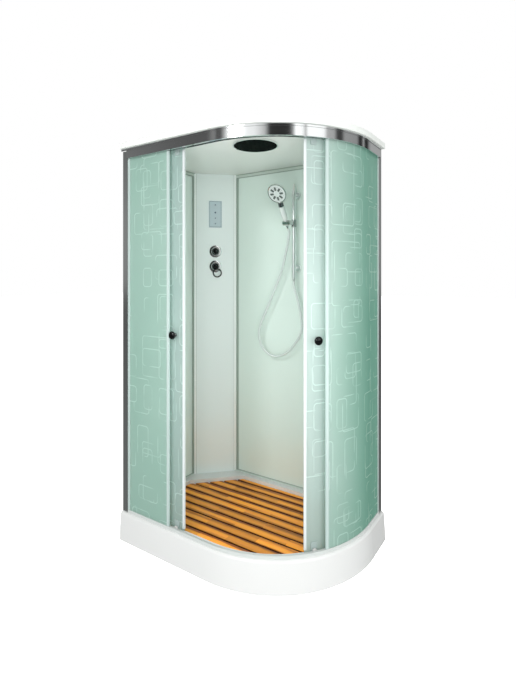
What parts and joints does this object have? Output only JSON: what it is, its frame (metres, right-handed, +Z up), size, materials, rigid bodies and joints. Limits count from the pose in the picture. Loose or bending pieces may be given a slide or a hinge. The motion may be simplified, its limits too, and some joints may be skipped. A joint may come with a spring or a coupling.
{
  "type": "shower cabin",
  "caption": "Corner shower cabin with a rounded glazed front, sliding doors, slatted floor board, column taps, rain head and hand shower.",
  "frame": {"origin": "on the floor, under the centre of the tray's outline", "axes": "+X right along the long back wall seen from the front, +Y from the front to the long back wall, +Z up"},
  "size_m": [1.2, 0.8, 2.15],
  "materials": {
    "white_acrylic": "gloss",
    "zinc_steel": "satin",
    "black_rubber": "matt",
    "foot_plastic": "matt",
    "chrome": "polished",
    "white_plastic": "satin",
    "thermo_wood": "oiled",
    "wood_dark": "oiled",
    "bright_aluminium": "bright anodised",
    "satin_aluminium": "satin anodised",
    "green_glass": "etched",
    "door_glass": "etched",
    "clear_seal": "satin",
    "white_seal": "satin",
    "dark_zinc": "satin",
    "wheel_plastic": "satin",
    "wall_green": "gloss",
    "white_panel": "gloss",
    "dark_chrome": "polished",
    "brass": "cast",
    "panel_grey": "gloss",
    "key_grey": "gloss",
    "box_plastic": "matt",
    "hose_silver": "satin",
    "grey_rubber": "matt",
    "pipe_plastic": "matt"
  },
  "bodies": {
    "cabin": {"tray": "white_acrylic", "base_frame": "zinc_steel", "feet": "foot_plastic", "drain_fittings": "chrome", "siphon_trap": "white_plastic", "bottom_rail": "bright_aluminium", "top_rail": "chrome", "left_wall_profile": "bright_aluminium", "right_wall_profile": "satin_aluminium", "left_fixed_glass": "green_glass", "right_fixed_glass": "green_glass", "fixed_pane_trims": "clear_seal", "door_stops": "black_rubber", "long_wall_panel": "wall_green", "short_wall_panel": "wall_green", "wall_strips": "satin_aluminium", "column": "white_panel", "roof": "white_panel", "rain_ring": "chrome", "rain_plate": "grey_rubber", "feed_pipes": "pipe_plastic", "mixer_body": "brass", "tap_plates": "dark_chrome", "diverter_body": "brass", "control_panel": "panel_grey", "control_box": "box_plastic", "riser_bar": "chrome", "bar_fittings": "chrome", "shower_hose": "hose_silver"},
    "floor_board": {"duckboard_slats": "thermo_wood", "duckboard_battens": "wood_dark", "duckboard_studs": "black_rubber"},
    "left_door": {"left_door_glass": "door_glass", "left_door_seals": "white_seal", "left_roller_mounts": "dark_zinc", "left_knobs": "chrome"},
    "right_door": {"right_door_glass": "door_glass", "right_door_seals": "white_seal", "right_roller_mounts": "dark_zinc", "right_knobs": "chrome"},
    "hub": {"mixer_hub": "dark_chrome"},
    "lever": {"mixer_lever": "dark_chrome"},
    "diverter": {"diverter_knob": "dark_chrome"},
    "up_key": {"key_up": "key_grey"},
    "middle_key": {"key_middle": "key_grey"},
    "down_key": {"key_down": "key_grey"},
    "bar_slider": {"slider": "chrome", "hose_tail": "hose_silver"},
    "holder": {"handset_holder": "chrome", "handset_body": "white_plastic", "hose_nut": "chrome"},
    "spray_dial": {"handset_face": "chrome"},
    "left_top_wheel_1_body": {"left_top_wheel_1": "wheel_plastic"},
    "left_top_wheel_2_body": {"left_top_wheel_2": "wheel_plastic"},
    "left_bottom_wheel_1_body": {"left_bottom_wheel_1": "wheel_plastic"},
    "left_bottom_wheel_2_body": {"left_bottom_wheel_2": "wheel_plastic"},
    "right_top_wheel_1_body": {"right_top_wheel_1": "wheel_plastic"},
    "right_top_wheel_2_body": {"right_top_wheel_2": "wheel_plastic"},
    "right_bottom_wheel_1_body": {"right_bottom_wheel_1": "wheel_plastic"},
    "right_bottom_wheel_2_body": {"right_bottom_wheel_2": "wheel_plastic"}
  },
  "joints": [
    {"name": "left_door_slide", "type": "slide", "parent": "cabin", "child": "left_door", "axis": [1, 0, 0], "range_m": [0, 0.234]},
    {"name": "right_door_turn", "type": "hinge", "parent": "cabin", "child": "right_door", "pos_m": [0, 0.2, 0], "axis": [0, 0, -1], "range_deg": [0, 40.58]},
    {"name": "left_top_wheel_1_roll", "type": "hinge", "parent": "left_door", "child": "left_top_wheel_1_body", "pos_m": [-0.2222, -0.3615, 2.0913], "axis": [0, 1, 0], "range_deg": [-5, 1230]},
    {"name": "left_top_wheel_2_roll", "type": "hinge", "parent": "left_door", "child": "left_top_wheel_2_body", "pos_m": [-0.4692, -0.3615, 2.0913], "axis": [0, 1, 0], "range_deg": [-5, 1230]},
    {"name": "left_bottom_wheel_1_roll", "type": "hinge", "parent": "left_door", "child": "left_bottom_wheel_1_body", "pos_m": [-0.2222, -0.3615, 0.1633], "axis": [0, 1, 0], "range_deg": [-5, 1230]},
    {"name": "left_bottom_wheel_2_roll", "type": "hinge", "parent": "left_door", "child": "left_bottom_wheel_2_body", "pos_m": [-0.4692, -0.3615, 0.1633], "axis": [0, 1, 0], "range_deg": [-5, 1230]},
    {"name": "right_top_wheel_1_roll", "type": "hinge", "parent": "right_door", "child": "right_top_wheel_1_body", "pos_m": [0.44237, -0.14582, 2.0913], "axis": [0.7878, -0.6159, 0], "range_deg": [-5, 2090]},
    {"name": "right_top_wheel_2_roll", "type": "hinge", "parent": "right_door", "child": "right_top_wheel_2_body", "pos_m": [0.55894, 0.25358, 2.0913], "axis": [0.9954, 0.0954, 0], "range_deg": [-5, 2090]},
    {"name": "right_bottom_wheel_1_roll", "type": "hinge", "parent": "right_door", "child": "right_bottom_wheel_1_body", "pos_m": [0.44237, -0.14582, 0.1633], "axis": [0.7878, -0.6159, 0], "range_deg": [-5, 2090]},
    {"name": "right_bottom_wheel_2_roll", "type": "hinge", "parent": "right_door", "child": "right_bottom_wheel_2_body", "pos_m": [0.55894, 0.25358, 0.1633], "axis": [0.9954, 0.0954, 0], "range_deg": [-5, 2090]},
    {"name": "board_lift", "type": "slide", "parent": "cabin", "child": "floor_board", "axis": [0, 0, 1], "range_m": [0, 0.3]},
    {"name": "mixer_turn", "type": "hinge", "parent": "cabin", "child": "hub", "pos_m": [-0.487, 0.287, 1.494], "axis": [0.7071, -0.7071, 0], "range_deg": [-59, 31]},
    {"name": "mixer_lift", "type": "hinge", "parent": "hub", "child": "lever", "pos_m": [-0.46558, 0.26558, 1.494], "axis": [-0.6861, -0.6861, -0.2419], "range_deg": [0, 25]},
    {"name": "diverter_turn", "type": "hinge", "parent": "cabin", "child": "diverter", "pos_m": [-0.487, 0.287, 1.592], "axis": [0.7071, -0.7071, 0], "range_deg": [-60, 60]},
    {"name": "press_up", "type": "slide", "parent": "cabin", "child": "up_key", "axis": [-0.7071, 0.7071, 0], "range_m": [0, 0.0012], "stiffness_N_per_m": 300},
    {"name": "press_middle", "type": "slide", "parent": "cabin", "child": "middle_key", "axis": [-0.7071, 0.7071, 0], "range_m": [0, 0.0012], "stiffness_N_per_m": 300},
    {"name": "press_down", "type": "slide", "parent": "cabin", "child": "down_key", "axis": [-0.7071, 0.7071, 0], "range_m": [0, 0.0012], "stiffness_N_per_m": 300},
    {"name": "slider_slide", "type": "slide", "parent": "cabin", "child": "bar_slider", "axis": [0, 0, 1], "range_m": [-0.22, 0.12], "deforming": ["shower_hose"]},
    {"name": "holder_tilt", "type": "hinge", "parent": "bar_slider", "child": "holder", "pos_m": [0.05, 0.282, 1.744], "axis": [1, 0, 0], "range_deg": [-16, 20], "deforming": ["hose_tail"]},
    {"name": "spray_turn", "type": "hinge", "parent": "holder", "child": "spray_dial", "pos_m": [0.05, 0.18132, 1.90513], "axis": [0, -0.8192, -0.5736], "range_deg": [-60, 60]}
  ],
  "couplings": [
    {"joint": "left_top_wheel_1_roll", "follows": "left_door_slide", "rad_per_m": 90.909},
    {"joint": "left_top_wheel_2_roll", "follows": "left_door_slide", "rad_per_m": 90.909},
    {"joint": "left_bottom_wheel_1_roll", "follows": "left_door_slide", "rad_per_m": 90.909},
    {"joint": "left_bottom_wheel_2_roll", "follows": "left_door_slide", "rad_per_m": 90.909},
    {"joint": "right_top_wheel_1_roll", "follows": "right_door_turn", "ratio": 51.045},
    {"joint": "right_top_wheel_2_roll", "follows": "right_door_turn", "ratio": 51.045},
    {"joint": "right_bottom_wheel_1_roll", "follows": "right_door_turn", "ratio": 51.045},
    {"joint": "right_bottom_wheel_2_roll", "follows": "right_door_turn", "ratio": 51.045}
  ]
}
